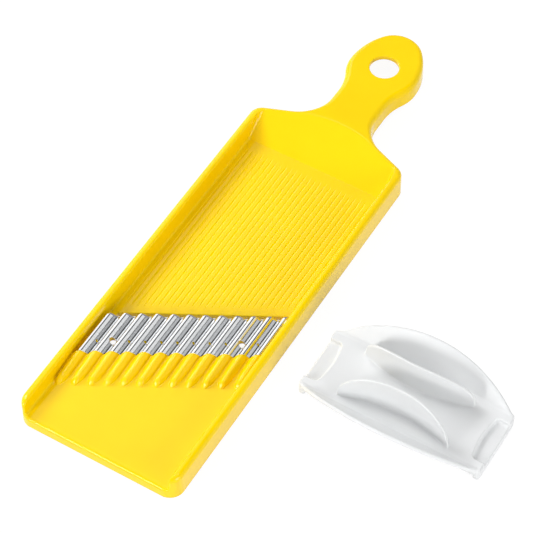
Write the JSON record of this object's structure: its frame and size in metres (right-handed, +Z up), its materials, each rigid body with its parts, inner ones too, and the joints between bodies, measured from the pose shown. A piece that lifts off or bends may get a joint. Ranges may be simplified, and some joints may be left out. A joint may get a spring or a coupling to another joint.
{
  "type": "wavy waffle slicer",
  "caption": "Flat hand slicer with a skewed corrugated blade in a shallow railed tray, a handle with a hanging hole, and a separate finger-guard food holder.",
  "frame": {"origin": "on the slicer's centreline at table level, in the middle of the foot of the wall under the front edge", "axes": "+Y along the slicer from its front edge to its handle, +Z up out of the table, +X towards the holder"},
  "size_m": [0.2097, 0.3129, 0.0267],
  "materials": {
    "yellow_plastic": "gloss",
    "blade_steel": "polished, with grinding marks",
    "white_plastic": "satin"
  },
  "bodies": {
    "slicer": {"slicer_body": "yellow_plastic", "wavy_blade": "blade_steel"},
    "holder": {"safety_holder": "white_plastic"}
  },
  "joints": [
    {"name": "holder_stroke", "type": "slide", "parent": "slicer", "child": "holder", "axis": [0, 1, 0], "range_m": [-0.079, 0.088]}
  ]
}
